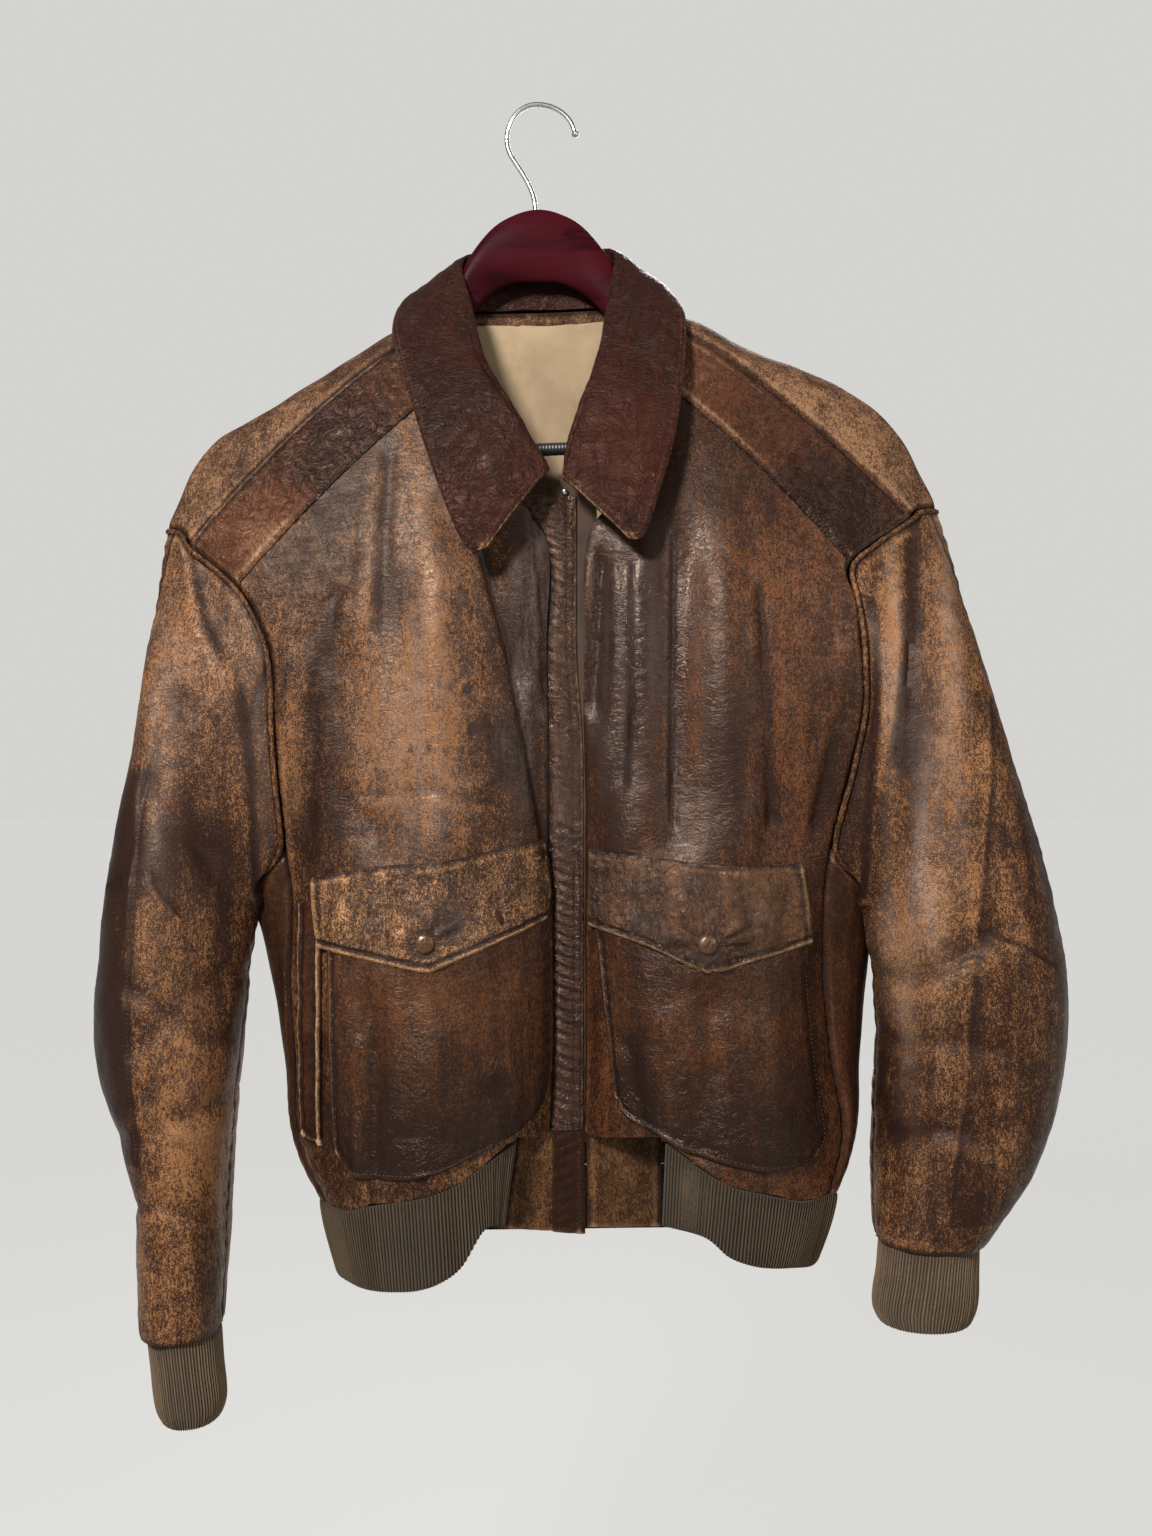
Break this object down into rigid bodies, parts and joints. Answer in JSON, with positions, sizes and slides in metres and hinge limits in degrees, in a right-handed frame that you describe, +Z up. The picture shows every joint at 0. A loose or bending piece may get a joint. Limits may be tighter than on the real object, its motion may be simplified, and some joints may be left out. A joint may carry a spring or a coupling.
{
  "type": "worn leather jacket on a wooden hanger",
  "caption": "Worn brown leather blouson with flap pockets and ribbed waist and cuffs, hanging open-necked on a stained wooden hanger with a wire hook.",
  "frame": {"origin": "inside top of the hanger's hook, where a rail bears", "axes": "+X to the viewer's right when the front is seen (the wearer's left), -Y out of the front, +Z up"},
  "size_m": [0.6437, 0.1478, 0.8834],
  "materials": {
    "back_leather": "tan-olive, matt, speckled",
    "bar_rubber": "black ribbed sleeve",
    "cotton_lining": "plain khaki cotton",
    "eyelet_metal": "blackened brass",
    "flap_leather": "worn, pale at the rims",
    "front_leather": "tan to plum brown, speckled and creased with wear",
    "glossy_leather": "dark oxblood, worn glossy and crackled",
    "hook_steel": "polished, dulled",
    "pocket_leather": "warm brown, near black at the bottoms",
    "ribbed_knit": "ribbed wool knit, taupe",
    "side_leather": "red-brown, satin",
    "sleeve_leather": "caramel, densely speckled, dark at the elbow",
    "stained_wood": "mahogany stain, satin lacquer",
    "zip_tape": "woven tape, tan"
  },
  "bodies": {
    "root": {"back": "back_leather", "collar": "glossy_leather", "collar_stud": "hook_steel", "cuff_left": "ribbed_knit", "cuff_right": "ribbed_knit", "epaulet_left": "glossy_leather", "epaulet_right": "glossy_leather", "eyelet_left": "eyelet_metal", "eyelet_right": "eyelet_metal", "flap_left": "flap_leather", "flap_right": "flap_leather", "front_left": "front_leather", "front_right": "front_leather", "hanger_bar": "bar_rubber", "hanger_hook": "hook_steel", "hanger_wood": "stained_wood", "hem_rib": "ribbed_knit", "lining_back": "cotton_lining", "lining_neck": "cotton_lining", "placket": "glossy_leather", "pocket_left": "pocket_leather", "pocket_right": "pocket_leather", "side_left": "side_leather", "side_right": "side_leather", "sleeve_left_front": "sleeve_leather", "sleeve_left_rear_lower": "sleeve_leather", "sleeve_left_rear_upper": "sleeve_leather", "sleeve_right_front": "sleeve_leather", "sleeve_right_rear_lower": "sleeve_leather", "sleeve_right_rear_upper": "sleeve_leather", "snap_left": "glossy_leather", "snap_right": "glossy_leather", "tab_left": "back_leather", "tab_right": "back_leather", "welt_left": "side_leather", "yoke": "back_leather", "zip_tape": "zip_tape"}
  },
  "joints": []
}
